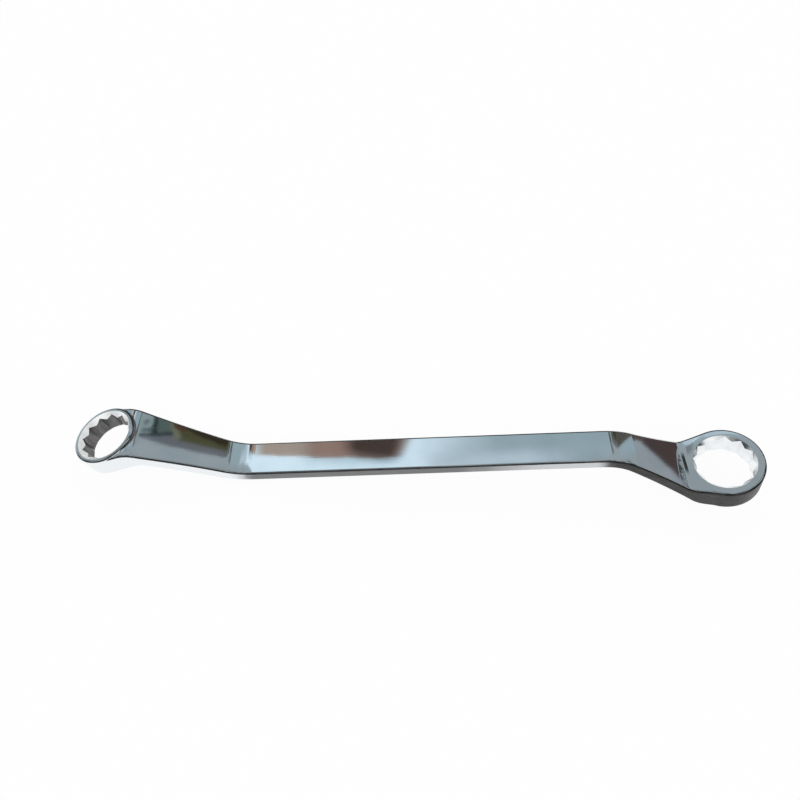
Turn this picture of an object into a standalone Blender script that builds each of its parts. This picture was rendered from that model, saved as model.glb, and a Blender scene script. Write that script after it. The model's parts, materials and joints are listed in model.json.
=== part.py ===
"""Double ring spanner, lying on a bench.

The real tool is one drop forging: a flat bar, cranked down at one end and up at the other, with a
twelve-point ring on each end. It is modelled as its five forged sections, which meet face to face.
Each end is drawn as the right-hand one, with its ring below the bar, and the small end is turned over.
"""

import math
from dataclasses import dataclass

import bmesh
import bpy
from mathutils import Matrix, Vector

MM = 0.001

# Bar
BEND_SPACING = 125.0 * MM
BAR_WIDTH = 12.0 * MM
BAR_THICKNESS = 4.0 * MM
EDGE_RADIUS = 0.8 * MM

# Cranked necks
NECK_ANGLE = math.radians(33.0)
BEND_RADIUS = 19.0 * MM
ROOT_FILLET = 3.8 * MM
ROOT_MARGIN = 1.5 * MM
HEEL_RADIUS = 6.0 * MM

# Rings
RING_TILT = math.radians(10.8)
RIM_RADIUS = 0.8 * MM
LEAD_IN = 0.7 * MM
BACK_CHAMFER = 0.15 * MM
FACE_STEP = 0.06 * MM
SHOULDER_STEP = 0.4 * MM

# Small end
SMALL_ACROSS_FLATS = 14.0 * MM
SMALL_RING_DIAMETER = 20.1 * MM
SMALL_RING_HEIGHT = 7.2 * MM
SMALL_NECK_LENGTH = 30.1 * MM
SMALL_ROOT_THICKNESS = 3.9 * MM
SMALL_FLANK_ANGLE = math.radians(9.0)
SMALL_POINT_TURN = math.radians(0.0)

# Large end
LARGE_ACROSS_FLATS = 17.0 * MM
LARGE_RING_DIAMETER = 25.2 * MM
LARGE_RING_HEIGHT = 9.5 * MM
LARGE_NECK_LENGTH = 28.4 * MM
LARGE_ROOT_THICKNESS = 4.9 * MM
LARGE_FLANK_ANGLE = math.radians(16.0)
LARGE_POINT_TURN = math.radians(15.0)

# Fineness of the facets
POINTS = 12
RING_SEGMENTS = 48
RIM_SEGMENTS = 4
CORNER_SEGMENTS = 4
BEND_SEGMENTS = 8
NECK_SEGMENTS = 6
FILLET_SEGMENTS = 6
HEEL_SEGMENTS = 4
CUT_MARGIN = 1.0 * MM
MERGE_DISTANCE = 0.001 * MM
SHARP_ANGLE = math.radians(30.0)

CHROME_COLOUR = (0.66, 0.70, 0.73, 1.0)
POLISHED_ROUGHNESS = 0.12
BROACHED_ROUGHNESS = 0.3


@dataclass(frozen=True)
class RingEnd:
    """The sizes that one end of the spanner has for itself."""

    name: str
    across_flats: float
    ring_diameter: float
    ring_height: float
    neck_length: float
    root_thickness: float
    flank_angle: float
    point_turn: float
    turn: float

    @property
    def ring_radius(self):
        return self.ring_diameter / 2

    @property
    def corner_radius(self):
        """Distance from the ring's axis to the outer corners of its twelve points."""
        return self.across_flats / 2 / math.cos(2 * math.pi / POINTS)

    @property
    def inner_corner_radius(self):
        return self.across_flats / 2 / math.cos(math.pi / POINTS)


SMALL_END = RingEnd(
    "small", SMALL_ACROSS_FLATS, SMALL_RING_DIAMETER, SMALL_RING_HEIGHT,
    SMALL_NECK_LENGTH, SMALL_ROOT_THICKNESS, SMALL_FLANK_ANGLE, SMALL_POINT_TURN, math.pi,
)
LARGE_END = RingEnd(
    "large", LARGE_ACROSS_FLATS, LARGE_RING_DIAMETER, LARGE_RING_HEIGHT,
    LARGE_NECK_LENGTH, LARGE_ROOT_THICKNESS, LARGE_FLANK_ANGLE, LARGE_POINT_TURN, 0.0,
)

# Directions in the side view, as (x, z): along and square to the neck, along and square to the ring's faces
NECK_ALONG = Vector((math.cos(NECK_ANGLE), -math.sin(NECK_ANGLE)))
NECK_UP = Vector((math.sin(NECK_ANGLE), math.cos(NECK_ANGLE)))
RING_ALONG = Vector((math.cos(RING_TILT), math.sin(RING_TILT)))
RING_UP = Vector((-math.sin(RING_TILT), math.cos(RING_TILT)))

BEND_REACH = BEND_RADIUS * math.tan(NECK_ANGLE / 2)
BEND_POINT = Vector((BEND_SPACING / 2, 0.0))
BEND_START = BEND_POINT.x - BEND_REACH


def chrome(name, roughness):
    """Bright chrome plate."""
    material = bpy.data.materials.new(name)
    material.use_nodes = True
    shader = material.node_tree.nodes["Principled BSDF"]
    shader.inputs["Base Color"].default_value = CHROME_COLOUR
    shader.inputs["Metallic"].default_value = 1.0
    shader.inputs["Roughness"].default_value = roughness
    return material


def mesh_object(bm, name, material=None):
    """A scene object from a bmesh, smooth but for its sharp edges."""
    bmesh.ops.recalc_face_normals(bm, faces=bm.faces)
    mesh = bpy.data.meshes.new(name)
    bm.to_mesh(mesh)
    bm.free()
    mesh.shade_smooth()
    mesh.set_sharp_from_angle(angle=SHARP_ANGLE)
    if material:
        mesh.materials.append(material)
    part = bpy.data.objects.new(name, mesh)
    bpy.context.scene.collection.objects.link(part)
    return part


def carrier(name):
    """An empty that other objects are placed from."""
    empty = bpy.data.objects.new(name, None)
    bpy.context.scene.collection.objects.link(empty)
    return empty


def boolean(part, operation, tool):
    """Joins or cuts part with a helper object, which is then only a guide."""
    modifier = part.modifiers.new(tool.name, "BOOLEAN")
    modifier.operation = operation
    modifier.solver = "EXACT"
    modifier.object = tool
    tool.hide_render = True
    tool.display_type = "WIRE"
    tool.parent = part


def crossing(start_a, along_a, start_b, along_b):
    """The point where two lines of the side view meet."""
    gap = start_b - start_a
    share = (gap.x * along_b.y - gap.y * along_b.x) / (along_a.x * along_b.y - along_a.y * along_b.x)
    return start_a + along_a * share


def arc_point(start, along, radius, turned):
    """Point of an arc that leaves a line of the side view and curls upwards, after turning so far."""
    up = Vector((-along.y, along.x))
    return start + along * (radius * math.sin(turned)) + up * (radius * (1 - math.cos(turned)))


def face_centre(end):
    """Middle of the ring's face on the bar's side: the neck's top runs out into the rim of that face."""
    neck_end = BEND_POINT + NECK_ALONG * end.neck_length
    return neck_end + NECK_UP * (end.root_thickness / 2) + RING_ALONG * end.ring_radius


def ring_centre(end):
    """Middle of the ring, on its axis."""
    centre = face_centre(end) - RING_UP * (end.ring_height / 2)
    return Vector((centre.x, 0, centre.y))


def half_width(end, point):
    """Half the width in plan at a point of the side view: level, then flaring to touch the ring."""
    start = (Vector((BEND_START, 0)) - face_centre(end)).dot(RING_ALONG)
    touch = -end.ring_radius * math.sin(end.flank_angle)
    length = touch - start
    t = min(max(((point - face_centre(end)).dot(RING_ALONG) - start) / length, 0.0), 1.0)
    rise = end.ring_radius * math.cos(end.flank_angle) - FACE_STEP - BAR_WIDTH / 2
    slope = length * math.tan(end.flank_angle)
    return BAR_WIDTH / 2 + rise * (3 * t**2 - 2 * t**3) + slope * (t**3 - t**2)


def section(top, bottom, top_half, bottom_half):
    """A rounded oblong loop that stands between two points of the side view."""
    up = (top - bottom).normalized()
    height = (top - bottom).length
    corners = (
        (top_half - EDGE_RADIUS, height - EDGE_RADIUS, 0),
        (EDGE_RADIUS - top_half, height - EDGE_RADIUS, 1),
        (EDGE_RADIUS - bottom_half, EDGE_RADIUS, 2),
        (bottom_half - EDGE_RADIUS, EDGE_RADIUS, 3),
    )
    loop = []
    for across, rise, quarter in corners:
        for step in range(CORNER_SEGMENTS + 1):
            angle = (quarter + step / CORNER_SEGMENTS) * math.pi / 2
            y = across + EDGE_RADIUS * math.cos(angle)
            place = bottom + up * (rise + EDGE_RADIUS * math.sin(angle))
            loop.append(Vector((place.x, y, place.y)))
    return loop


def end_section(end, top, bottom):
    return section(top, bottom, half_width(end, top), half_width(end, bottom))


def bar_section(x):
    half = BAR_THICKNESS / 2
    return section(Vector((x, half)), Vector((x, -half)), BAR_WIDTH / 2, BAR_WIDTH / 2)


def loft(name, loops, material=None):
    """One closed solid skinned over a row of loops."""
    bm = bmesh.new()
    rows = [[bm.verts.new(point) for point in loop] for loop in loops]
    edges = [[bm.edges.new(pair) for pair in zip(row, row[1:] + row[:1])] for row in rows]
    for first, second in zip(edges, edges[1:]):
        bmesh.ops.bridge_loops(bm, edges=first + second)
    bm.faces.new(rows[0])
    bm.faces.new(rows[-1])
    return mesh_object(bm, name, material)


def neck_half_thickness(end, along):
    """Half the neck's thickness at a distance from the bend's corner."""
    share = (along - BEND_REACH) / (end.neck_length - BEND_REACH)
    return (BAR_THICKNESS + (end.root_thickness - BAR_THICKNESS) * share) / 2


def neck_sides(end, along):
    """Top and bottom points of the straight part of the neck."""
    middle = BEND_POINT + NECK_ALONG * along
    half = neck_half_thickness(end, along)
    return middle + NECK_UP * half, middle - NECK_UP * half


def top_slope(end):
    """Direction of the neck's top, which leans a little off the centreline as the neck thickens."""
    first, last = neck_sides(end, BEND_REACH)[0], neck_sides(end, end.neck_length)[0]
    return (last - first).normalized()


def fillet_reach(end):
    """Distance from the corner between neck and ring face to where its fillet starts."""
    return ROOT_FILLET * math.tan(top_slope(end).angle(RING_ALONG) / 2)


def root_distance(end):
    """Where the neck ends and the ring head starts, measured from the bend's corner."""
    return end.neck_length - fillet_reach(end) - ROOT_MARGIN


def bend_loops(end):
    """Sections round the bend, each square to the centreline's arc."""
    centre = Vector((BEND_START, -BEND_RADIUS))
    half = BAR_THICKNESS / 2
    for step in range(BEND_SEGMENTS + 1):
        angle = NECK_ANGLE * step / BEND_SEGMENTS
        out = Vector((math.sin(angle), math.cos(angle)))
        yield end_section(end, centre + out * (BEND_RADIUS + half), centre + out * (BEND_RADIUS - half))


def neck_loops(end):
    """Sections along the straight, flaring part of the neck."""
    length = root_distance(end) - BEND_REACH
    for step in range(1, NECK_SEGMENTS + 1):
        yield end_section(end, *neck_sides(end, BEND_REACH + length * step / NECK_SEGMENTS))


def root_loops(end):
    """Sections from the neck into the ring: a fillet on the bar's side, a rounded heel on the other."""
    face = face_centre(end)
    corner = face - RING_ALONG * end.ring_radius
    start = corner - top_slope(end) * fillet_reach(end)
    floor = face - RING_UP * (end.ring_height - SHOULDER_STEP)
    touch = RING_ALONG * (end.ring_radius * math.sin(end.flank_angle))
    root_top, root_bottom = neck_sides(end, root_distance(end))
    slope = (neck_sides(end, end.neck_length)[1] - root_bottom).normalized()
    heel = crossing(root_bottom, slope, floor, RING_ALONG)
    heel_turn = slope.angle(RING_ALONG)
    heel_start = heel - slope * (HEEL_RADIUS * math.tan(heel_turn / 2))
    sunk = RING_UP * FACE_STEP
    yield end_section(end, root_top, root_bottom)
    sweep = top_slope(end).angle(RING_ALONG)
    for step in range(FILLET_SEGMENTS + 1):
        fillet_end = arc_point(start, top_slope(end), ROOT_FILLET, sweep * step / FILLET_SEGMENTS) - sunk
        bottom = root_bottom.lerp(heel_start, (1 + step) / (1 + FILLET_SEGMENTS))
        yield end_section(end, fillet_end, bottom)
    face_end = face - touch - sunk
    for step in range(1, HEEL_SEGMENTS + 1):
        bottom = arc_point(heel_start, slope, HEEL_RADIUS, heel_turn * step / HEEL_SEGMENTS)
        yield end_section(end, fillet_end.lerp(face_end, step / (1 + HEEL_SEGMENTS)), bottom)
    yield end_section(end, face_end, floor - touch)


def countersink(end, side, depth):
    """Outline of the cone at one mouth of the opening, from the axis out to the face, with a flat floor."""
    face = side * end.ring_height / 2
    mouth = end.corner_radius + depth
    floor_radius = end.across_flats / 2 - CUT_MARGIN
    floor = face - side * (mouth - floor_radius)
    return [Vector((0, 0, floor)), Vector((floor_radius, 0, floor)), Vector((mouth, 0, face))]


def rim(end, side):
    """Outline of the rounded edge between the wall and one face, from the lower end up."""
    first_angle = min(side, 0) * math.pi / 2
    outline = []
    for step in range(RIM_SEGMENTS + 1):
        angle = first_angle + math.pi / 2 * step / RIM_SEGMENTS
        x = end.ring_radius - RIM_RADIUS + RIM_RADIUS * math.cos(angle)
        z = side * (end.ring_height / 2 - RIM_RADIUS) + RIM_RADIUS * math.sin(angle)
        outline.append(Vector((x, 0, z)))
    return outline


def ring_blank(end):
    """The turned ring before broaching, with rounded rims and a countersink in each face."""
    outline = countersink(end, -1, LEAD_IN) + rim(end, -1) + rim(end, 1)
    outline += reversed(countersink(end, 1, BACK_CHAMFER))
    return spun(f"{end.name}_ring_blank", outline)


def root_clearance(end):
    """Cutter that keeps the neck's root inside the ring's wall, clear of the countersinks."""
    inner, outer = end.corner_radius + LEAD_IN, end.ring_radius - RIM_RADIUS
    radius, reach = (inner + outer) / 2, end.ring_height / 2 + CUT_MARGIN
    corners = ((0, -reach), (radius, -reach), (radius, reach), (0, reach))
    return spun(f"{end.name}_root_clearance", [Vector((x, 0, z)) for x, z in corners])


def spun(name, outline):
    """A solid turned from an outline on the axis, its facets set off from the twelve points."""
    bm = bmesh.new()
    points = [bm.verts.new(point) for point in outline]
    edges = [bm.edges.new(pair) for pair in zip(points, points[1:])]
    bmesh.ops.spin(
        bm, geom=points + edges, cent=(0, 0, 0), axis=(0, 0, 1),
        angle=2 * math.pi, steps=RING_SEGMENTS, use_merge=True,
    )
    bmesh.ops.remove_doubles(bm, verts=bm.verts, dist=MERGE_DISTANCE)
    bm.transform(Matrix.Rotation(math.pi / RING_SEGMENTS, 4, "Z"))
    return mesh_object(bm, name)


def broach(end):
    """Cutter for the twelve-point opening."""
    bm = bmesh.new()
    reach = end.ring_height / 2 + CUT_MARGIN
    corners = []
    for step in range(2 * POINTS):
        radius = end.inner_corner_radius if step % 2 else end.corner_radius
        angle = end.point_turn + step * math.pi / POINTS
        corners.append(bm.verts.new((radius * math.cos(angle), radius * math.sin(angle), -reach)))
    bm.faces.new(corners)
    sides = bmesh.ops.extrude_face_region(bm, geom=bm.faces[:])
    raised = [item for item in sides["geom"] if isinstance(item, bmesh.types.BMVert)]
    bmesh.ops.translate(bm, verts=raised, vec=(0, 0, 2 * reach))
    return mesh_object(bm, f"{end.name}_broach")


def ring_head(end, material):
    """The ring with the root that the neck runs into, drawn round the ring's own axis."""
    to_ring = Matrix.Rotation(RING_TILT, 4, "Y") @ Matrix.Translation(-ring_centre(end))
    loops = [[to_ring @ point for point in loop] for loop in root_loops(end)]
    head = loft(f"{end.name}_ring_head", loops, material)
    boolean(head, "DIFFERENCE", root_clearance(end))
    boolean(head, "UNION", ring_blank(end))
    boolean(head, "DIFFERENCE", broach(end))
    head.location = ring_centre(end)
    head.rotation_euler.y = -RING_TILT
    return head


def neck(end, material):
    """The bend and the flaring neck up to the ring's root."""
    return loft(f"{end.name}_neck", list(bend_loops(end)) + list(neck_loops(end)), material)


def shank(material):
    """The straight bar between the two bends."""
    return loft("shank", [bar_section(-BEND_START), bar_section(BEND_START)], material)


def side_points(parts):
    """Every vertex of the finished parts in the side view, as (x, z) in the world."""
    bpy.context.view_layer.update()
    graph = bpy.context.evaluated_depsgraph_get()
    points = []
    for part in parts:
        shape = part.evaluated_get(graph)
        places = (shape.matrix_world @ vertex.co for vertex in shape.data.vertices)
        points.extend((place.x, place.z) for place in places)
    return points


def bench_angle(points):
    """Slope of the line that the spanner rests on: the edge of its outline under the middle of the bar."""
    under = []
    for x, z in sorted(points):
        while len(under) > 1 and (
            (under[-1][0] - under[-2][0]) * (z - under[-2][1])
            <= (under[-1][1] - under[-2][1]) * (x - under[-2][0])
        ):
            under.pop()
        under.append((x, z))
    left, right = next(pair for pair in zip(under, under[1:]) if pair[0][0] <= 0 < pair[1][0])
    return math.atan2(right[1] - left[1], right[0] - left[0])


def lay_on_bench(spanner, parts):
    """Turns the tool so that it lies at rest, centred over the origin with its lowest point at zero."""
    spanner.rotation_euler.y = bench_angle(side_points(parts))
    points = side_points(parts)
    across = [x for x, z in points]
    spanner.location.x = -(min(across) + max(across)) / 2
    spanner.location.z = -min(z for x, z in points)


def main():
    for old in list(bpy.data.objects):
        bpy.data.objects.remove(old, do_unlink=True)
    polished = chrome("polished_chrome", POLISHED_ROUGHNESS)
    broached = chrome("broached_chrome", BROACHED_ROUGHNESS)
    spanner = carrier("spanner")
    parts = [shank(polished)]
    parts[0].parent = spanner
    for end in (SMALL_END, LARGE_END):
        holder = carrier(f"{end.name}_end")
        holder.rotation_euler.y = end.turn
        holder.parent = spanner
        for part in (neck(end, polished), ring_head(end, broached)):
            part.parent = holder
            parts.append(part)
    lay_on_bench(spanner, parts)


main()
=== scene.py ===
"""Studio scene of a chrome double ring spanner.

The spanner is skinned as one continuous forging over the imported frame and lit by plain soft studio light.
The cards that hang round it show only as reflections in the chrome.
"""

import json
import math
from dataclasses import dataclass

import bmesh
import bpy
from mathutils import Matrix, Vector


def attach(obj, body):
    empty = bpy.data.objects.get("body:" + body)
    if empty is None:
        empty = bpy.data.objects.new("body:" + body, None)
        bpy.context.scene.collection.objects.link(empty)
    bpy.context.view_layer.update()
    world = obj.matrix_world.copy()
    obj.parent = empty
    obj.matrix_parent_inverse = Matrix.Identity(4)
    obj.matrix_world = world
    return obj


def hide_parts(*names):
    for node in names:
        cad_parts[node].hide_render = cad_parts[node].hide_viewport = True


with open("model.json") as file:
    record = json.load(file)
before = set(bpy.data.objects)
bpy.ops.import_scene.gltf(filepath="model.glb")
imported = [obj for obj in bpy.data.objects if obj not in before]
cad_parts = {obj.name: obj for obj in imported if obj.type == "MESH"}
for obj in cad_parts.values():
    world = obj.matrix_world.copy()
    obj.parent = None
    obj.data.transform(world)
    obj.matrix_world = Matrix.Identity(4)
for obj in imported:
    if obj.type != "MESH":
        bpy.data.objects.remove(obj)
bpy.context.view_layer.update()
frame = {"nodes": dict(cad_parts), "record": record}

MM = 0.001

# Bar
BEND_SPACING = 125.0 * MM
BAR_WIDTH = 12.0 * MM
BAR_THICKNESS = 4.0 * MM
EDGE_RADIUS = 0.8 * MM

# Cranked necks
NECK_ANGLE = math.radians(33.0)
BEND_RADIUS = 19.0 * MM
ROOT_FILLET = 3.8 * MM
ROOT_MARGIN = 1.5 * MM
HEEL_RADIUS = 6.0 * MM

# Rings
RING_TILT = math.radians(10.8)
RIM_RADIUS = 0.8 * MM
LEAD_IN = 0.7 * MM
BACK_CHAMFER = 0.15 * MM
FLUSH_STEP = 0.004 * MM
SHOULDER_STEP = 0.4 * MM
POINTS = 12

# Fineness of the skin
RING_STEPS = 192
RIM_STEPS = 7
CORNER_STEPS = 6
BEND_STEPS = 28
NECK_STEPS = 24
FILLET_STEPS = 14
HEEL_STEPS = 12
CUT_MARGIN = 1.0 * MM
MERGE_DISTANCE = 0.0005 * MM
SHARP_ANGLE = math.radians(32.0)

# The photograph's frame, and the camera's place over the bar's face
PICTURE = 800
FOCAL_PIXELS = 650.0
SENSOR_WIDTH = 36.0
CAMERA_DISTANCE = 215.84 * MM
CAMERA_AZIMUTH = math.radians(1.04)
CAMERA_ELEVATION = math.radians(60.04)
CAMERA_ROLL = math.radians(3.03)
NEAREST_SEEN = 10.0 * MM
BAR_MIDDLE_PIXEL = (426.65, 456.49)
AIM_ABOVE_MIDDLE = -0.844 * MM


@dataclass(frozen=True)
class RingEnd:
    """The sizes that one end of the spanner has for itself."""

    name: str
    across_flats: float
    ring_diameter: float
    ring_height: float
    neck_length: float
    root_thickness: float
    flank_angle: float
    point_turn: float
    turn: float

    @property
    def ring_radius(self):
        return self.ring_diameter / 2

    @property
    def corner_radius(self):
        return self.across_flats / 2 / math.cos(2 * math.pi / POINTS)

    @property
    def inner_corner_radius(self):
        return self.across_flats / 2 / math.cos(math.pi / POINTS)


SMALL_END = RingEnd(
    name="small",
    across_flats=14.0 * MM,
    ring_diameter=20.1 * MM,
    ring_height=7.2 * MM,
    neck_length=30.1 * MM,
    root_thickness=3.9 * MM,
    flank_angle=math.radians(9.0),
    point_turn=0.0,
    turn=math.pi,
)
LARGE_END = RingEnd(
    name="large",
    across_flats=17.0 * MM,
    ring_diameter=25.2 * MM,
    ring_height=9.5 * MM,
    neck_length=28.4 * MM,
    root_thickness=4.9 * MM,
    flank_angle=math.radians(16.0),
    point_turn=math.radians(15.0),
    turn=0.0,
)

# Directions in the side view, as (x, z): along and square to the neck, along and square to the ring's faces
NECK_ALONG = Vector((math.cos(NECK_ANGLE), -math.sin(NECK_ANGLE)))
NECK_UP = Vector((math.sin(NECK_ANGLE), math.cos(NECK_ANGLE)))
RING_ALONG = Vector((math.cos(RING_TILT), math.sin(RING_TILT)))
RING_UP = Vector((-math.sin(RING_TILT), math.cos(RING_TILT)))
BEND_REACH = BEND_RADIUS * math.tan(NECK_ANGLE / 2)
BEND_POINT = Vector((BEND_SPACING / 2, 0.0))
BEND_START = BEND_POINT.x - BEND_REACH


def mount(name):
    return next(item for item in frame["record"]["mounts"] if item["name"] == name)


def lying_place():
    """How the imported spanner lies: from its own frame, with the bar level, to the bench."""
    upper = mount("shank_upper_face")
    lower = mount("shank_lower_face")
    middle = (Vector(upper["pos_m"]) + Vector(lower["pos_m"])) / 2
    up = Vector(upper["axis"])
    lean = math.atan2(up.x, up.z)
    return Matrix.Translation(middle) @ Matrix.Rotation(lean, 4, "Y")


LYING = lying_place()


# Shader expressions

# A Mix node's sockets for colours, which share their names with others
MIX_SHARE = 0
MIX_FIRST = 6
MIX_SECOND = 7
MIX_RESULT = 2


class Wire:
    """An output socket that Python expressions can be written with."""

    def __init__(self, tree, socket=None):
        self.tree = tree
        self.socket = socket

    def node(self, kind, settings=None, inputs=None, output=0):
        """Any node: its type, then its settings, then the values or links of its sockets."""
        node = self.tree.nodes.new(kind)
        for name, setting in (settings or {}).items():
            setattr(node, name, setting)
        for name, value in (inputs or {}).items():
            if isinstance(value, Wire):
                self.tree.links.new(value.socket, node.inputs[name])
            else:
                node.inputs[name].default_value = value
        return Wire(self.tree, node.outputs[output])

    def math(self, operation, *terms):
        return self.node("ShaderNodeMath", {"operation": operation}, dict(enumerate(terms)))

    def __add__(self, other):
        return self.math("ADD", self, other)

    def __sub__(self, other):
        return self.math("SUBTRACT", self, other)

    def __rsub__(self, other):
        return self.math("SUBTRACT", other, self)

    def __mul__(self, other):
        return self.math("MULTIPLY", self, other)

    __radd__ = __add__
    __rmul__ = __mul__

    def step(self, start, end):
        """A soft step from 0 at the start to 1 at the end, which may be the lower value."""
        settings = {"interpolation_type": "SMOOTHSTEP"}
        return self.node("ShaderNodeMapRange", settings, {"Value": self, "From Min": start, "From Max": end})

    def vector(self, operation, *terms, output=0):
        return self.node("ShaderNodeVectorMath", {"operation": operation}, dict(enumerate(terms)), output)

    def dot(self, direction):
        return self.vector("DOT_PRODUCT", self, direction, output="Value")

    def noise(self, scale=1.0, detail=2.0, output=0):
        inputs = {"Vector": self, "Scale": scale, "Detail": detail}
        return self.node("ShaderNodeTexNoise", None, inputs, output)

    def stretched(self, scale):
        """The same coordinates, drawn out along the axes with small scales."""
        return self.node("ShaderNodeMapping", None, {"Vector": self, "Scale": scale})

    def mixed(self, share, first, second, label=""):
        """A colour between two others."""
        settings = {"data_type": "RGBA", "label": label}
        inputs = {MIX_SHARE: share, MIX_FIRST: first, MIX_SECOND: second}
        return self.node("ShaderNodeMix", settings, inputs, MIX_RESULT)


def colour(red, green, blue):
    return (red, green, blue, 1.0)


def shown(red, green, blue):
    """The linear colour that shows as these 0 to 255 values."""
    def linear(value):
        share = value / 255
        return share / 12.92 if share <= 0.04045 else ((share + 0.055) / 1.055) ** 2.4
    return colour(linear(red), linear(green), linear(blue))


# Camera

def camera_axes():
    """Right, up and forward of the camera in the spanner's own frame."""
    level = math.cos(CAMERA_ELEVATION)
    back = Vector((
        math.sin(CAMERA_AZIMUTH) * level,
        -math.cos(CAMERA_AZIMUTH) * level,
        math.sin(CAMERA_ELEVATION),
    ))
    forward = -back
    right = forward.cross(Vector((0, 0, 1))).normalized()
    up = right.cross(forward)
    across = (BAR_MIDDLE_PIXEL[0] - PICTURE / 2) / FOCAL_PIXELS
    down = (BAR_MIDDLE_PIXEL[1] - PICTURE / 2) / FOCAL_PIXELS
    aim = Vector((across, -down, 1)).normalized()
    swing = Vector((0, 0, 1)).rotation_difference(aim).to_matrix()
    roll = Matrix.Rotation(CAMERA_ROLL, 3, "Z")
    return swing @ roll @ Matrix((right, up, forward)), back


def camera_place():
    """The camera's place on the bench."""
    (right, up, forward), back = camera_axes()
    turn = Matrix((right, up, -forward)).transposed().to_4x4()
    spot = back * CAMERA_DISTANCE + Vector((0, 0, AIM_ABOVE_MIDDLE))
    return LYING @ Matrix.Translation(spot) @ turn


CAMERA_PLACE = camera_place()


def add_camera():
    camera = bpy.data.objects.new("camera", bpy.data.cameras.new("camera"))
    camera.data.sensor_width = SENSOR_WIDTH
    camera.data.lens = FOCAL_PIXELS * SENSOR_WIDTH / PICTURE
    camera.data.clip_start = NEAREST_SEEN
    camera.matrix_world = CAMERA_PLACE
    bpy.context.scene.collection.objects.link(camera)
    bpy.context.scene.camera = camera


def sight(x, y):
    """Direction in which the camera sees a point of the picture."""
    ray = Vector(((x - PICTURE / 2) / FOCAL_PIXELS, (PICTURE / 2 - y) / FOCAL_PIXELS, -1))
    return (CAMERA_PLACE.to_3x3() @ ray).normalized()


def mirrored(pixel, normal):
    """Direction from which light comes to a point of the picture, off a flat mirror with that normal."""
    ray = sight(*pixel)
    return ray - 2 * ray.dot(normal) * normal


# Sizes along the side view

# Which of a pair of points is which
TOP = 0
BOTTOM = 1


def crossing(start_a, along_a, start_b, along_b):
    """The point where two lines of the side view meet."""
    gap = start_b - start_a
    share = (gap.x * along_b.y - gap.y * along_b.x) / (along_a.x * along_b.y - along_a.y * along_b.x)
    return start_a + along_a * share


def arc_point(start, along, radius, turned):
    """Point of an arc that leaves a line of the side view and curls upwards, after turning so far."""
    up = Vector((-along.y, along.x))
    return start + along * (radius * math.sin(turned)) + up * (radius * (1 - math.cos(turned)))


def face_centre(end):
    """Middle of the ring's face on the bar's side."""
    neck_end = BEND_POINT + NECK_ALONG * end.neck_length
    return neck_end + NECK_UP * (end.root_thickness / 2) + RING_ALONG * end.ring_radius


def ring_centre(end):
    centre = face_centre(end) - RING_UP * (end.ring_height / 2)
    return Vector((centre.x, 0, centre.y))


def half_width(end, point):
    """Half the width in plan at a point of the side view: level, then flaring to touch the ring."""
    start = (Vector((BEND_START, 0)) - face_centre(end)).dot(RING_ALONG)
    touch = -end.ring_radius * math.sin(end.flank_angle)
    length = touch - start
    t = min(max(((point - face_centre(end)).dot(RING_ALONG) - start) / length, 0.0), 1.0)
    rise = end.ring_radius * math.cos(end.flank_angle) - FLUSH_STEP - BAR_WIDTH / 2
    slope = length * math.tan(end.flank_angle)
    return BAR_WIDTH / 2 + rise * (3 * t**2 - 2 * t**3) + slope * (t**3 - t**2)


def neck_sides(end, along):
    """Top and bottom points of the straight part of the neck."""
    middle = BEND_POINT + NECK_ALONG * along
    share = (along - BEND_REACH) / (end.neck_length - BEND_REACH)
    half = (BAR_THICKNESS + (end.root_thickness - BAR_THICKNESS) * share) / 2
    return middle + NECK_UP * half, middle - NECK_UP * half


def top_slope(end):
    first = neck_sides(end, BEND_REACH)[TOP]
    last = neck_sides(end, end.neck_length)[TOP]
    return (last - first).normalized()


def fillet_reach(end):
    return ROOT_FILLET * math.tan(top_slope(end).angle(RING_ALONG) / 2)


def root_distance(end):
    return end.neck_length - fillet_reach(end) - ROOT_MARGIN


# Stations: pairs of top and bottom points that the skin passes through, from the bar outwards

def bend_stations():
    centre = Vector((BEND_START, -BEND_RADIUS))
    half = BAR_THICKNESS / 2
    for step in range(BEND_STEPS + 1):
        angle = NECK_ANGLE * step / BEND_STEPS
        out = Vector((math.sin(angle), math.cos(angle)))
        yield centre + out * (BEND_RADIUS + half), centre + out * (BEND_RADIUS - half)


def neck_stations(end):
    length = root_distance(end) - BEND_REACH
    for step in range(1, NECK_STEPS + 1):
        yield neck_sides(end, BEND_REACH + length * step / NECK_STEPS)


def root_stations(end):
    """From the neck into the ring: a fillet on the bar's side, a rounded heel on the other."""
    face = face_centre(end)
    start = face - RING_ALONG * end.ring_radius - top_slope(end) * fillet_reach(end)
    floor = face - RING_UP * (end.ring_height - SHOULDER_STEP)
    touch = RING_ALONG * (end.ring_radius * math.sin(end.flank_angle))
    root_bottom = neck_sides(end, root_distance(end))[BOTTOM]
    slope = (neck_sides(end, end.neck_length)[BOTTOM] - root_bottom).normalized()
    heel = crossing(root_bottom, slope, floor, RING_ALONG)
    heel_turn = slope.angle(RING_ALONG)
    heel_start = heel - slope * (HEEL_RADIUS * math.tan(heel_turn / 2))
    sunk = RING_UP * FLUSH_STEP
    sweep = top_slope(end).angle(RING_ALONG)
    for step in range(FILLET_STEPS + 1):
        fillet_end = arc_point(start, top_slope(end), ROOT_FILLET, sweep * step / FILLET_STEPS) - sunk
        yield fillet_end, root_bottom.lerp(heel_start, (1 + step) / (1 + FILLET_STEPS))
    face_end = face - touch - sunk
    for step in range(1, HEEL_STEPS + 1):
        bottom = arc_point(heel_start, slope, HEEL_RADIUS, heel_turn * step / HEEL_STEPS)
        yield fillet_end.lerp(face_end, step / (1 + HEEL_STEPS)), bottom
    yield face_end, floor - touch


# Forging

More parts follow.
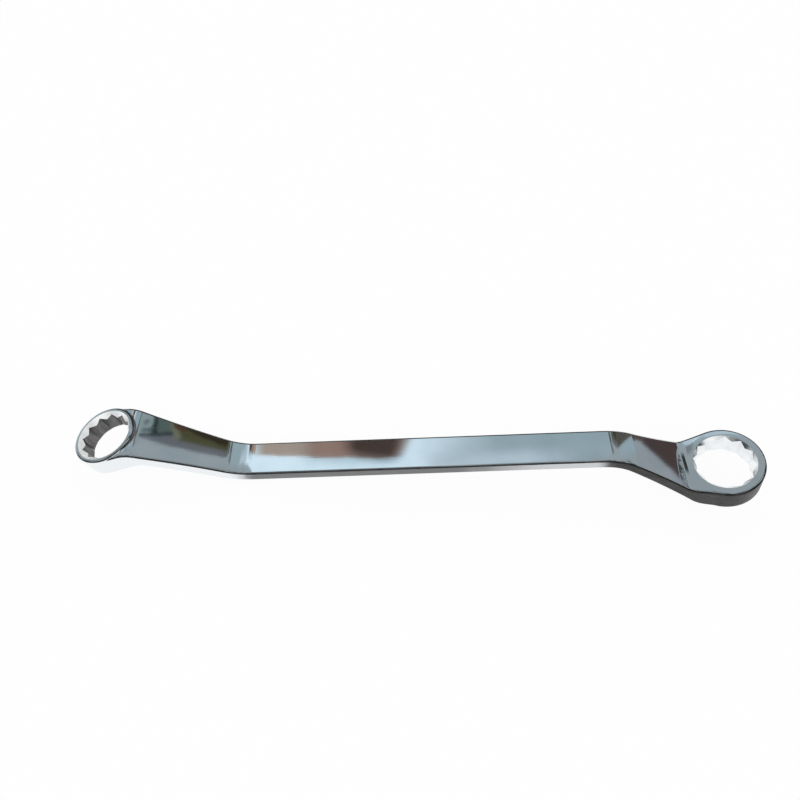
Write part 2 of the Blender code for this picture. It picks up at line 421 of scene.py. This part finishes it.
def section(bm, end, top, bottom):
    """One rounded oblong section, standing between two points of the side view."""
    corners = []
    for point, side in ((top, 1), (top, -1), (bottom, -1), (bottom, 1)):
        half = half_width(end, point)
        corners.append(bm.verts.new((point.x, side * half, point.y)))
    bm.faces.new(corners)
    bmesh.ops.bevel(
        bm, geom=corners, affect="VERTICES", offset=EDGE_RADIUS, offset_type="OFFSET",
        segments=CORNER_STEPS, profile=0.5, material=-1,
    )


def end_frame(end):
    """From one end's own drawing, with the ring below the bar on the right, to the spanner."""
    return Matrix.Rotation(end.turn, 4, "Y")


def ring_frame(end):
    """From the ring's own axis to the spanner."""
    return end_frame(end) @ Matrix.Translation(ring_centre(end)) @ Matrix.Rotation(-RING_TILT, 4, "Y")


def skin(stations, end):
    """One closed solid over a row of stations: only the first and last sections keep their faces."""
    bm = bmesh.new()
    rows = []
    for top, bottom in stations:
        before = set(bm.edges)
        section(bm, end, top, bottom)
        rows.append([edge for edge in bm.edges if edge not in before])
    caps = rows[0][0].link_faces[:] + rows[-1][0].link_faces[:]
    inner = [face for face in bm.faces if face not in caps]
    bmesh.ops.delete(bm, geom=inner, context="FACES_ONLY")
    for first, second in zip(rows, rows[1:]):
        bmesh.ops.bridge_loops(bm, edges=first + second)
    bm.transform(end_frame(end))
    return new_object(bm, f"{end.name}_arm")


def new_object(bm, name):
    """A new object in the scene, its faces outwards."""
    bm.normal_update()
    bmesh.ops.recalc_face_normals(bm, faces=bm.faces)
    mesh = bpy.data.meshes.new(name)
    bm.to_mesh(mesh)
    bm.free()
    thing = bpy.data.objects.new(name, mesh)
    bpy.context.scene.collection.objects.link(thing)
    return thing


def spun(end, name, outline):
    """A solid turned round the ring's axis, its facets set off from the twelve points."""
    bm = bmesh.new()
    points = [bm.verts.new(point) for point in outline]
    edges = [bm.edges.new(pair) for pair in zip(points, points[1:])]
    bmesh.ops.spin(
        bm, geom=points + edges, cent=(0, 0, 0), axis=(0, 0, 1),
        angle=2 * math.pi, steps=RING_STEPS, use_merge=True,
    )
    bmesh.ops.remove_doubles(bm, verts=bm.verts, dist=MERGE_DISTANCE)
    bm.transform(ring_frame(end) @ Matrix.Rotation(math.pi / RING_STEPS, 4, "Z"))
    return new_object(bm, f"{end.name}_{name}")


def countersink(end, side, depth):
    """Outline of the cone at one mouth of the opening, from the axis out to the face."""
    face = side * end.ring_height / 2
    mouth = end.corner_radius + depth
    floor_radius = end.across_flats / 2 - CUT_MARGIN
    floor = face - side * (mouth - floor_radius)
    return [Vector((0, 0, floor)), Vector((floor_radius, 0, floor)), Vector((mouth, 0, face))]


def rim(end, side):
    """Outline of the rounded edge between the wall and one face, from the lower end up."""
    first_angle = min(side, 0) * math.pi / 2
    outline = []
    for step in range(RIM_STEPS + 1):
        angle = first_angle + math.pi / 2 * step / RIM_STEPS
        x = end.ring_radius - RIM_RADIUS + RIM_RADIUS * math.cos(angle)
        z = side * (end.ring_height / 2 - RIM_RADIUS) + RIM_RADIUS * math.sin(angle)
        outline.append(Vector((x, 0, z)))
    return outline


def ring_blank(end):
    outline = countersink(end, -1, LEAD_IN) + rim(end, -1) + rim(end, 1)
    outline += reversed(countersink(end, 1, BACK_CHAMFER))
    return spun(end, "blank", outline)


def root_clearance(end):
    """Cutter that keeps the neck's root inside the ring's wall."""
    inner = end.corner_radius + LEAD_IN
    outer = end.ring_radius - RIM_RADIUS
    radius = (inner + outer) / 2
    reach = end.ring_height / 2 + CUT_MARGIN
    corners = ((0, -reach), (radius, -reach), (radius, reach), (0, reach))
    return spun(end, "clearance", [Vector((x, 0, z)) for x, z in corners])


def broach(end):
    """Cutter for the twelve-point opening."""
    bm = bmesh.new()
    reach = end.ring_height / 2 + CUT_MARGIN
    corners = []
    for step in range(2 * POINTS):
        radius = end.inner_corner_radius if step % 2 else end.corner_radius
        angle = end.point_turn + step * math.pi / POINTS
        corners.append(bm.verts.new((radius * math.cos(angle), radius * math.sin(angle), -reach)))
    bm.faces.new(corners)
    sides = bmesh.ops.extrude_face_region(bm, geom=bm.faces[:])
    raised = [item for item in sides["geom"] if isinstance(item, bmesh.types.BMVert)]
    bmesh.ops.translate(bm, verts=raised, vec=(0, 0, 2 * reach))
    bm.transform(ring_frame(end))
    return new_object(bm, f"{end.name}_broach")


def joined(body, steps):
    """The mesh of body after a row of boolean steps, whose tools are then removed."""
    for operation, tool in steps:
        modifier = body.modifiers.new(tool.name, "BOOLEAN")
        modifier.operation = operation
        modifier.solver = "EXACT"
        modifier.object = tool
    graph = bpy.context.evaluated_depsgraph_get()
    mesh = bpy.data.meshes.new_from_object(body.evaluated_get(graph))
    for thing in (body, *(tool for operation, tool in steps)):
        bpy.data.objects.remove(thing, do_unlink=True)
    return mesh


def arm(end):
    """From the middle of the bar to the ring."""
    half = BAR_THICKNESS / 2
    bar = [(Vector((0, half)), Vector((0, -half)))]
    stations = bar + list(bend_stations()) + list(neck_stations(end)) + list(root_stations(end))
    return skin(stations, end)


def forging():
    """The whole spanner as one mesh, in its own frame."""
    meshes = []
    for end in (SMALL_END, LARGE_END):
        steps = (
            ("DIFFERENCE", root_clearance(end)),
            ("UNION", ring_blank(end)),
            ("DIFFERENCE", broach(end)),
        )
        meshes.append(joined(arm(end), steps))
    bm = bmesh.new()
    for mesh in meshes:
        bm.from_mesh(mesh)
        bpy.data.meshes.remove(mesh)
    inside = [face for face in bm.faces if all(abs(vert.co.x) < MERGE_DISTANCE for vert in face.verts)]
    bmesh.ops.delete(bm, geom=inside, context="FACES")
    bmesh.ops.remove_doubles(bm, verts=bm.verts, dist=MERGE_DISTANCE)
    return bm


# Finishes, some with painted shade, sheen, highlights and dark reflections

POLISHED_COLOUR = colour(0.70, 0.74, 0.77)
POLISHED_SHADE = colour(0.64, 0.69, 0.72)
# Painted shade: the satin sides' dark base, as if the spanner's shadow on the bench showed in them
SATIN_PAINTED_SHADE = colour(0.058, 0.057, 0.057)
SATIN_PAINTED_SHADE_DEEP = colour(0.027, 0.026, 0.026)
# Painted sheen: near-white sides where they would mirror light
PAINTED_SHEEN_COLOUR = colour(0.87, 0.90, 0.92)
# Painted shade: dark plate in the small ring's opening and on the wall beside the neck's root
DULL_PAINTED_SHADE = colour(0.19, 0.186, 0.186)
DULL_PAINTED_SHADE_DEEP = colour(0.105, 0.102, 0.102)
# Painted highlight: near-white plate in the large ring's opening
BRIGHT_PAINTED_HIGHLIGHT = colour(0.93, 0.95, 0.96)
BRIGHT_PAINTED_HIGHLIGHT_DIM = colour(0.84, 0.87, 0.89)
# Painted highlight: near-white, half-matte plate on the small ring's lead-ins
LEAD_IN_PAINTED_HIGHLIGHT = colour(0.97, 0.98, 0.985)
LEAD_IN_PAINTED_HIGHLIGHT_DIM = colour(0.92, 0.94, 0.95)
LEAD_IN_HIGHLIGHT_METALLIC = 0.2
# Painted reflection: a dark line along the rounded edges
EDGE_PAINTED_REFLECTION = colour(0.07, 0.07, 0.07)
EDGE_PAINTED_REFLECTION_DEEP = colour(0.03, 0.03, 0.03)

# Fineness of the patterns to a metre: the same all ways, or along the tool, across it and up
POLISH_CLOUDS = 90.0
POLISH_HAZE = 160.0
POLISH_WAVES = 55.0
POLISH_LINES = (60.0, 2600.0, 600.0)
POLISH_SCRATCHES = (80.0, 3000.0, 800.0)
BELT_GRAIN = (260.0, 500.0, 1500.0)
BELT_SCRATCHES = (500.0, 900.0, 2400.0)
BELT_CLOUDS = 140.0
BELT_HAZE = 500.0
SHEEN_EDGE = 150.0
BROACH_MARKS = (1500.0, 1500.0, 140.0)
BROACH_SCRATCHES = (2200.0, 2200.0, 160.0)
BROACH_HAZE = 400.0
PLATE_CLOUDS = 220.0
PLATE_HAZE = 300.0
EDGE_CLOUDS = 260.0

# Where the two tones of a pattern meet
CLOUD_TONES = (0.35, 0.65)
MARK_TONES = (0.3, 0.7)
LINE_TONES = (0.55, 0.8)

# Roughness of a finish by itself, and what its patterns add to it or take from it
POLISH_ROUGHNESS = 0.02
POLISH_LINE_ROUGHNESS = 0.025
POLISH_HAZE_ROUGHNESS = 0.015
BELT_ROUGHNESS = 0.34
BELT_HAZE_ROUGHNESS = 0.16
# Taken off the satin's roughness where the painted sheen lies
SHEEN_SMOOTHING = 0.2

# How high the scratches stand beside the waves of the polish, and how much of the belt's pattern is grain
POLISH_SCRATCH_HEIGHT = 0.03
BELT_GRAIN_SHARE = 0.6

# Where the sides get a painted sheen, along the bench
SMALL_END_SHEEN = (-66.0 * MM, -58.0 * MM)
BAR_SHEEN_START = (5.0 * MM, 40.0 * MM)
BAR_SHEEN_END = (50.0 * MM, 58.0 * MM)
BAR_SHEEN_LEAST = 0.18
BAR_SHEEN_MOST = 0.67
SHEEN_STRAY = 10.0 * MM


def metal(name, base, roughness, bump=None, bump_strength=0.0, bump_depth=0.0, metallic=1.0):
    """A metal whose colour, roughness and bump are expressions of the place on the piece."""
    material = bpy.data.materials.new(name)
    material.use_nodes = True
    tree = material.node_tree
    shader = tree.nodes["Principled BSDF"]
    shader.inputs["Metallic"].default_value = metallic
    place = Wire(tree).node("ShaderNodeTexCoord", output="Object")
    tree.links.new(base(place).socket, shader.inputs["Base Color"])
    tree.links.new(roughness(place).socket, shader.inputs["Roughness"])
    if bump:
        inputs = {"Height": bump(place), "Strength": bump_strength, "Distance": bump_depth}
        normal = place.node("ShaderNodeBump", None, inputs)
        tree.links.new(normal.socket, shader.inputs["Normal"])
    return material


def clouded(fineness, first, second):
    """Base colour of two tones in soft clouds."""
    def base(place):
        return place.mixed(place.noise(fineness).step(*CLOUD_TONES), first, second)

    return base


def hazed(fineness, least, spread, detail=2.0):
    """Roughness that wanders upwards from the least."""
    def roughness(place):
        return least + spread * place.noise(fineness, detail)

    return roughness


def scratched(fineness):
    """Bump of fine scratches."""
    def bump(place):
        return place.stretched(fineness).noise(detail=3.0)

    return bump


def polished_chrome():
    """Mirror-bright plate, with a little waviness and fine polishing lines along the bar."""
    def roughness(place):
        lines = place.stretched(POLISH_LINES).noise().step(*LINE_TONES)
        haze = place.noise(POLISH_HAZE)
        return POLISH_ROUGHNESS + POLISH_LINE_ROUGHNESS * lines + POLISH_HAZE_ROUGHNESS * haze

    def bump(place):
        scratches = place.stretched(POLISH_SCRATCHES).noise()
        return place.noise(POLISH_WAVES, detail=1.0) + POLISH_SCRATCH_HEIGHT * scratches

    base = clouded(POLISH_CLOUDS, POLISHED_COLOUR, POLISHED_SHADE)
    return metal("polished_chrome", base, roughness, bump, bump_strength=0.25, bump_depth=0.08 * MM)


def satin_chrome():
    """Duller plate on the forged sides, with the grain of the grinding belt; its dark base colour is painted
    shade, lightened in places by a painted sheen.
    """
    def painted_sheen(place):
        """How much painted sheen the side gets: wholly on the small end, partly along the bar, then none."""
        along = place.dot((1, 0, 0)) + SHEEN_STRAY * (place.noise(SHEEN_EDGE, detail=3.0) - 0.5)
        past_small_end = along.step(*SMALL_END_SHEEN)
        bar = BAR_SHEEN_LEAST + (BAR_SHEEN_MOST - BAR_SHEEN_LEAST) * along.step(*BAR_SHEEN_START)
        return 1 - past_small_end + past_small_end * bar * (1 - along.step(*BAR_SHEEN_END))

    def base(place):
        grain = place.stretched(BELT_GRAIN).noise(detail=4.0)
        pattern = BELT_GRAIN_SHARE * grain + (1 - BELT_GRAIN_SHARE) * place.noise(BELT_CLOUDS)
        # The satin's two dark tones are painted shade
        shaded_satin = place.mixed(pattern.step(*CLOUD_TONES), SATIN_PAINTED_SHADE_DEEP, SATIN_PAINTED_SHADE)
        # Mixes in the painted sheen
        return place.mixed(painted_sheen(place), shaded_satin, PAINTED_SHEEN_COLOUR)

    def roughness(place):
        haze = place.noise(BELT_HAZE, detail=3.0)
        return BELT_ROUGHNESS + BELT_HAZE_ROUGHNESS * haze - SHEEN_SMOOTHING * painted_sheen(place)

    bump = scratched(BELT_SCRATCHES)
    return metal("satin_chrome", base, roughness, bump, bump_strength=0.35, bump_depth=0.06 * MM)


def dull_chrome_painted_shade():
    """Plate out of the polishing wheel's reach, over broaching marks that run through the opening; its dark
    base colour is painted shade.
    """
    def base(place):
        marks = place.stretched(BROACH_MARKS).noise(detail=3.0)
        return place.mixed(marks.step(*MARK_TONES), DULL_PAINTED_SHADE_DEEP, DULL_PAINTED_SHADE)

    roughness = hazed(BROACH_HAZE, least=0.3, spread=0.15, detail=3.0)
    bump = scratched(BROACH_SCRATCHES)
    return metal("dull_chrome_painted_shade", base, roughness, bump, bump_strength=0.3, bump_depth=0.05 * MM)


def bright_painted_highlight():
    """Ground plate inside the large ring, its near-white colour a painted reflection of the lit bench."""
    base = clouded(PLATE_CLOUDS, BRIGHT_PAINTED_HIGHLIGHT, BRIGHT_PAINTED_HIGHLIGHT_DIM)
    return metal("bright_painted_highlight", base, hazed(PLATE_HAZE, least=0.18, spread=0.1))


def lead_in_painted_highlight():
    """Plate on the small ring's lead-ins, painted near white and only a little metallic: a painted
    highlight.
    """
    base = clouded(PLATE_CLOUDS, LEAD_IN_PAINTED_HIGHLIGHT, LEAD_IN_PAINTED_HIGHLIGHT_DIM)
    roughness = hazed(PLATE_HAZE, least=0.2, spread=0.1)
    return metal("lead_in_painted_highlight", base, roughness, metallic=LEAD_IN_HIGHLIGHT_METALLIC)


def edge_painted_reflection():
    """Painted dark reflection on the rounded edges, between the polished faces and the ground sides."""
    base = clouded(EDGE_CLOUDS, EDGE_PAINTED_REFLECTION, EDGE_PAINTED_REFLECTION_DEEP)
    return metal("edge_painted_reflection", base, hazed(PLATE_HAZE, least=0.26, spread=0.1))


# Besides the polish, these finishes carry painted light: shade on the satin sides and in the small ring,
# sheen on the sides, highlights in the openings, a dark reflection on the edges
FINISHES = (polished_chrome, satin_chrome, dull_chrome_painted_shade, bright_painted_highlight, lead_in_painted_highlight, edge_painted_reflection)
POLISHED, SATIN_WITH_SHADE_AND_SHEEN, DULL_SHADED, BRIGHT_PAINTED, LEAD_IN_HIGHLIGHT, EDGE = range(len(FINISHES))

# How far a normal leans before its face counts as part of a side, a wall, a cone or an opening
SIDE_LEAN = 0.5
EDGE_LEAN = 0.82
WALL_LEAN = 0.76
CONE_LEAN = 0.3
INWARD_LEAN = -0.1

# How far along the ring, in radii, the root of the neck hides the wall; nearer the neck the wall takes the
# dull finish and its painted shade
NECK_SIDE = -0.7


def finish_of(face):
    """Which finish a face of the forging has, from its place in the spanner's own frame."""
    centre = face.calc_center_median()
    end = LARGE_END if centre.x > 0 else SMALL_END
    into_ring = ring_frame(end).inverted()
    spot = into_ring @ centre
    lean = into_ring.to_3x3() @ face.normal
    radius = math.hypot(spot.x, spot.y)
    outward = (lean.x * spot.x + lean.y * spot.y) / radius
    sideways = abs(face.normal.y)
    in_opening = radius < end.corner_radius + LEAD_IN and abs(spot.z) < end.ring_height / 2
    on_wall = abs(radius - end.ring_radius) < RIM_RADIUS
    # Inside the openings the colour is painted light: highlights in the large ring and on the lead-ins,
    # shade in the small ring's flutes
    if in_opening and outward < INWARD_LEAN:
        if end is LARGE_END:
            # The large ring's opening gets a painted highlight
            return BRIGHT_PAINTED
        # The small ring's lead-ins get a painted highlight, its flutes painted shade
        return LEAD_IN_HIGHLIGHT if abs(lean.z) > CONE_LEAN else DULL_SHADED
    if on_wall and outward > SIDE_LEAN and spot.x > NECK_SIDE * end.ring_radius:
        # The wall takes the satin's painted shade and sheen, its rounded edges a painted dark reflection
        return SATIN_WITH_SHADE_AND_SHEEN if outward > EDGE_LEAN else EDGE
    # The wall beside the neck's root gets painted shade
    if on_wall and outward > WALL_LEAN:
        return DULL_SHADED
    # The sides take the satin's painted shade and sheen, their rounded edges a painted dark reflection
    if sideways > SIDE_LEAN:
        return SATIN_WITH_SHADE_AND_SHEEN if sideways > EDGE_LEAN else EDGE
    return POLISHED


def add_spanner():
    bm = forging()
    bmesh.ops.recalc_face_normals(bm, faces=bm.faces)
    bm.normal_update()
    for face in bm.faces:
        face.material_index = finish_of(face)
        face.smooth = True
    bm.transform(LYING)
    mesh = bpy.data.meshes.new("spanner")
    bm.to_mesh(mesh)
    bm.free()
    for finish in FINISHES:
        mesh.materials.append(finish())
    mesh.set_sharp_from_angle(angle=SHARP_ANGLE)
    spanner = bpy.data.objects.new("spanner", mesh)
    bpy.context.scene.collection.objects.link(spanner)
    weighted = spanner.modifiers.new("even_shading", "WEIGHTED_NORMAL")
    weighted.keep_sharp = True
    weighted.mode = "FACE_AREA"
    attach(spanner, "root")
    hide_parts(*frame["nodes"])


# Studio

FLOOR_RADIUS = 3.0
FLOOR_SIDES = 64
FLOOR_COLOUR = colour(0.9, 0.9, 0.9)
FLOOR_ROUGHNESS = 0.9
FLOOR_GLOW = 0.93
WHITE = colour(1.0, 1.0, 1.0)


def mirror_normal(lean):
    """Normal on the bench of a face whose normal leans that far from the bar's, towards the large ring."""
    return (LYING.to_3x3() @ Vector((math.sin(lean), 0, math.cos(lean)))).normalized()


def neck_lean(end, side):
    """How far the normal of the neck's top or bottom leans from the bar's."""
    run = neck_sides(end, end.neck_length)[side] - neck_sides(end, BEND_REACH)[side]
    return math.atan2(-run.y, run.x)


# The flat mirrors of the forging that the camera sees
BAR = mirror_normal(0.0)
RING = mirror_normal(-RING_TILT)
SMALL_NECK = mirror_normal(neck_lean(SMALL_END, BOTTOM))
LARGE_NECK = mirror_normal(neck_lean(LARGE_END, TOP))


@dataclass(frozen=True)
class Card:
    """A card that shows with these corners of the picture, and this colour, in a flat mirror of the forging.

    Its four edges run from each corner to the next, each with its own softness.
    """

    name: str
    mirror: Vector
    corners: tuple
    showing: tuple
    softness: tuple


@dataclass(frozen=True)
class Strip:
    """A long card that shows in the round parts, bounded by soft steps in how far right and back it hangs.

    Its front and back edges lie further back to the right, by the slant.
    """

    name: str
    left: tuple
    right: tuple
    front: tuple
    back: tuple
    slant: float
    showing: tuple


FINE = 0.002
SHARP = 0.003
SOFT = 0.015
WIDE = 0.05
BROAD = 0.09
THIN = (FINE,) * 4
CRISP = (SHARP,) * 4
EVEN = (SOFT,) * 4

STRIPS = (
    Strip(
        "dark strip at the far edge of the large bend", showing=(80, 78, 74), slant=0.047,
        left=(0.345, 0.375), right=(0.85, 0.88), front=(0.4555, 0.4590), back=(0.62, 0.66),
    ),
    Strip(
        "black strip in the fillet of the large ring", showing=(46, 50, 50), slant=0.0,
        left=(0.30, 0.36), right=(0.72, 0.78), front=(0.432, 0.440), back=(0.457, 0.463),
    ),
)
CARDS = (
    Card(
        "bright sheet over the bar", BAR, showing=(208, 230, 243), softness=(SOFT, BROAD, SHARP, SHARP),
        corners=((228, 340), (457, 340), (449, 473), (228, 478)),
    ),
    Card(
        "blue-grey sheet over the bar", BAR, showing=(178, 202, 216), softness=EVEN,
        corners=((310, 440), (400, 440), (400, 465), (310, 465)),
    ),
    Card(
        "tan card over the bar", BAR, showing=(158, 146, 138), softness=(SOFT, SOFT, SHARP, SOFT),
        corners=((252, 380), (330, 380), (330, 457), (256, 455)),
    ),
    Card(
        "brown card over the bar", BAR, showing=(140, 118, 109), softness=(SOFT, SOFT, SHARP, SOFT),
        corners=((306, 380), (430, 380), (398, 458), (308, 459)),
    ),
    Card(
        "dark card over the bar", BAR, showing=(66, 56, 52), softness=EVEN,
        corners=((336, 380), (424, 380), (394, 461), (350, 455)),
    ),
    Card(
        "pale slat over the bar", BAR, showing=(172, 190, 202), softness=(SOFT, WIDE, SHARP, SOFT),
        corners=((430, 456), (560, 451), (560, 465), (430, 470)),
    ),
    Card(
        "pale slat over the small neck", SMALL_NECK, showing=(142, 153, 160),
        softness=(SHARP, WIDE, SHARP, WIDE),
        corners=((110, 428), (240, 458), (240, 474), (110, 452)),
    ),
    Card(
        "grey sheet over the small neck", SMALL_NECK, showing=(134, 150, 153), softness=CRISP,
        corners=((120, 390), (157, 390), (157, 434), (120, 438)),
    ),
    Card(
        "slate wedge over the small neck", SMALL_NECK, showing=(96, 101, 109), softness=THIN,
        corners=((139, 436), (172, 433), (172, 447.5), (139, 437)),
    ),
    Card(
        "slate slat over the small neck", SMALL_NECK, showing=(96, 101, 107), softness=THIN,
        corners=((168, 434), (233, 449), (232, 460), (168, 446.5)),
    ),
    Card(
        "green card over the small neck", SMALL_NECK, showing=(80, 95, 92), softness=THIN,
        corners=((156, 390), (177, 390), (177, 434), (156, 434)),
    ),
    Card(
        "olive card over the small neck", SMALL_NECK, showing=(72, 73, 52), softness=CRISP,
        corners=((174, 390), (236, 400), (230, 452), (178, 440)),
    ),
    Card(
        "dark far edge over the small neck", SMALL_NECK, showing=(46, 42, 32), softness=CRISP,
        corners=((176, 400), (240, 410), (234, 449), (178, 425)),
    ),
    Card(
        "pale olive edge over the small neck", SMALL_NECK, showing=(104, 108, 92), softness=CRISP,
        corners=((171, 418), (177, 424), (181, 438), (172, 437)),
    ),
    Card(
        "brown corner over the small neck", SMALL_NECK, showing=(74, 53, 42), softness=THIN,
        corners=((171, 400), (190, 426), (184, 431), (175, 428)),
    ),
    Card(
        "dark sill over the small neck", SMALL_NECK, showing=(38, 48, 53), softness=THIN,
        corners=((140, 433.5), (173, 431.5), (173, 435), (140, 436)),
    ),
    Card(
        "dark post over the small neck", SMALL_NECK, showing=(34, 46, 46), softness=THIN,
        corners=((154.5, 412), (158, 412), (158.5, 433), (152, 433)),
    ),
    Card(
        "dim patch over the small neck", SMALL_NECK, showing=(66, 78, 81), softness=THIN,
        corners=((143, 428), (155, 426), (155, 431), (143, 431)),
    ),
    Card(
        "dim spot over the small neck", SMALL_NECK, showing=(84, 99, 102), softness=THIN,
        corners=((144, 421), (149, 417), (151, 420), (146, 424)),
    ),
    Card(
        "grey sheet over the small ring", RING, showing=(160, 168, 172), softness=EVEN,
        corners=((60, 380), (160, 380), (160, 490), (60, 490)),
    ),
    Card(
        "darker sheet on the neck's side of the small ring", RING, showing=(116, 128, 126), softness=EVEN,
        corners=((121, 380), (160, 380), (160, 490), (100, 490)),
    ),
    Card(
        "pale sheet over the large neck", LARGE_NECK, showing=(138, 147, 154), softness=EVEN,
        corners=((634, 420), (700, 420), (700, 500), (634, 500)),
    ),
    Card(
        "dark slat at the far edge of the large neck", LARGE_NECK, showing=(76, 70, 65), softness=THIN,
        corners=((626, 420), (690, 420), (660, 446), (626, 435.3)),
    ),
    Card(
        "dark sail over the large neck", LARGE_NECK, showing=(68, 58, 58), softness=CRISP,
        corners=((642, 441), (676, 400), (700, 470), (681, 482)),
    ),
    Card(
        "grey patch over the large ring", RING, showing=(112, 120, 127), softness=CRISP,
        corners=((681, 440), (690, 440), (692, 449), (684, 456)),
    ),
)

# The room round the cards: its colours as they show in the chrome, and where these meet
HAZE = (142, 162, 171)
NEAR_HAZE = (141, 152, 158)
NEAR_HAZE_EDGE = (0.480, 0.462)
BACK_WALL = (52, 52, 50)
BACK_WALL_EDGE = (0.57, 0.66)
CEILING = (30, 40, 45)
CEILING_BACK = (0.34, 0.24)
CEILING_FRONT = (-0.45, -0.58)
OVERHEAD = (204, 211, 215)
OVERHEAD_SHADE = (96, 106, 113)
OVERHEAD_FRONT = (-0.16, -0.08)
OVERHEAD_BACK = (0.16, 0.08)
OVERHEAD_CLOUDS = (7.0, 2.0, 2.0)
OVERHEAD_TONES = (0.38, 0.62)
FRONT = (240, 244, 246)
FRONT_LOW = (128, 138, 145)
FRONT_LOW_EDGE = (0.6, 0.35)
FRONT_BAR = (58, 62, 66)
FRONT_BARS = (6.0, 6.0, 1.0)
FRONT_BAR_TONES = (0.44, 0.56)

# How far, and how finely, the edges of the cards stray
STRAY = 0.006
STRAY_FINENESS = 40.0


def reflecting(showing):
    """The colour of a thing that shows in the polished chrome as these 0 to 255 values."""
    return colour(*(light / base for light, base in zip(shown(*showing)[:3], POLISHED_COLOUR)))


def inside_card(direction, card):
    """Mask of the directions in which a card hangs."""
    rays = [mirrored(corner, card.mirror) for corner in card.corners]
    middle = sum(rays, Vector())
    mask = None
    for first, second, softness in zip(rays, rays[1:] + rays[:1], card.softness):
        edge = first.cross(second).normalized()
        if edge.dot(middle) < 0:
            edge = -edge
        side = direction.dot(edge).step(-softness, softness)
        mask = side if mask is None else mask * side
    return mask


def inside_strip(direction, strip):
    """Mask of the directions in which a strip hangs."""
    across = direction.dot((1, 0, 0))
    depth = direction.dot((-strip.slant, 1, 0))
    sides = across.step(*strip.left) * (1 - across.step(*strip.right))
    return sides * depth.step(*strip.front) * (1 - depth.step(*strip.back))


def straying(direction):
    """The same directions, each a little off, so that no card has a ruled edge."""
    start = direction.vector("SUBTRACT", direction, (STRAY / 2,) * 3)
    stray = direction.noise(STRAY_FINENESS, detail=3.0, output="Color")
    return direction.vector("MULTIPLY_ADD", stray, (STRAY,) * 3, start)


def overhead_light(direction):
    """A cloudy strip light over the bench."""
    clouds = direction.stretched(OVERHEAD_CLOUDS).noise().step(*OVERHEAD_TONES)
    return direction.mixed(clouds, reflecting(OVERHEAD_SHADE), reflecting(OVERHEAD))


def front_wall(direction):
    """What stands before the bench: white, and barred below."""
    bars = direction.stretched(FRONT_BARS).noise().step(*FRONT_BAR_TONES)
    low = direction.mixed(bars, reflecting(FRONT_BAR), reflecting(FRONT_LOW))
    return direction.mixed(direction.dot((0, 0, 1)).step(*FRONT_LOW_EDGE), reflecting(FRONT), low)


def room(direction):
    """What the chrome reflects from each direction."""
    depth = direction.dot((0, 1, 0))
    seen = direction.mixed(depth.step(*NEAR_HAZE_EDGE), reflecting(HAZE), reflecting(NEAR_HAZE))
    for strip in STRIPS:
        seen = direction.mixed(inside_strip(direction, strip), seen, reflecting(strip.showing), strip.name)
    off = straying(direction)
    for card in CARDS:
        seen = direction.mixed(inside_card(off, card), seen, reflecting(card.showing), card.name)
    seen = direction.mixed(depth.step(*BACK_WALL_EDGE), seen, reflecting(BACK_WALL))
    seen = direction.mixed(depth.step(*CEILING_BACK), seen, reflecting(CEILING))
    overhead = depth.step(*OVERHEAD_FRONT) * depth.step(*OVERHEAD_BACK)
    seen = direction.mixed(overhead, seen, overhead_light(direction))
    return direction.mixed(depth.step(*CEILING_FRONT), seen, front_wall(direction))


def add_world():
    """White all round, with the room and its cards for what the chrome reflects."""
    world = bpy.data.worlds.new("studio")
    world.use_nodes = True
    bpy.context.scene.world = world
    tree = world.node_tree
    direction = Wire(tree).node("ShaderNodeTexCoord", output="Generated")
    glossy = direction.node("ShaderNodeLightPath", output="Is Glossy Ray")
    light = direction.mixed(glossy, WHITE, room(direction))
    tree.links.new(light.socket, tree.nodes["Background"].inputs["Color"])


def add_floor():
    """A pale floor that keeps a faint shadow, clear from below."""
    bm = bmesh.new()
    bmesh.ops.create_circle(bm, cap_ends=True, segments=FLOOR_SIDES, radius=FLOOR_RADIUS)
    floor = new_object(bm, "floor")
    material = bpy.data.materials.new("floor")
    material.use_nodes = True
    tree = material.node_tree
    shader = tree.nodes["Principled BSDF"]
    shader.inputs["Base Color"].default_value = FLOOR_COLOUR
    shader.inputs["Roughness"].default_value = FLOOR_ROUGHNESS
    shader.inputs["Specular IOR Level"].default_value = 0.0
    wire = Wire(tree)
    camera = wire.node("ShaderNodeLightPath", output="Is Camera Ray")
    glossy = wire.node("ShaderNodeLightPath", output="Is Glossy Ray")
    transmission = wire.node("ShaderNodeLightPath", output="Is Transmission Ray")
    white = wire.node("ShaderNodeEmission", None, {"Color": WHITE, "Strength": 1.0})
    shade = Wire(tree, shader.outputs["BSDF"])
    share = (camera + glossy + transmission) * FLOOR_GLOW
    top = wire.node("ShaderNodeMixShader", None, {0: share, 1: shade, 2: white})
    below = wire.node("ShaderNodeNewGeometry", output="Backfacing")
    clear = wire.node("ShaderNodeBsdfTransparent")
    both = wire.node("ShaderNodeMixShader", None, {0: below, 1: top, 2: clear})
    tree.links.new(both.socket, tree.nodes["Material Output"].inputs["Surface"])
    floor.data.materials.append(material)


def main():
    bpy.context.scene.view_settings.view_transform = "Standard"
    add_camera()
    add_floor()
    add_world()
    add_spanner()


main()
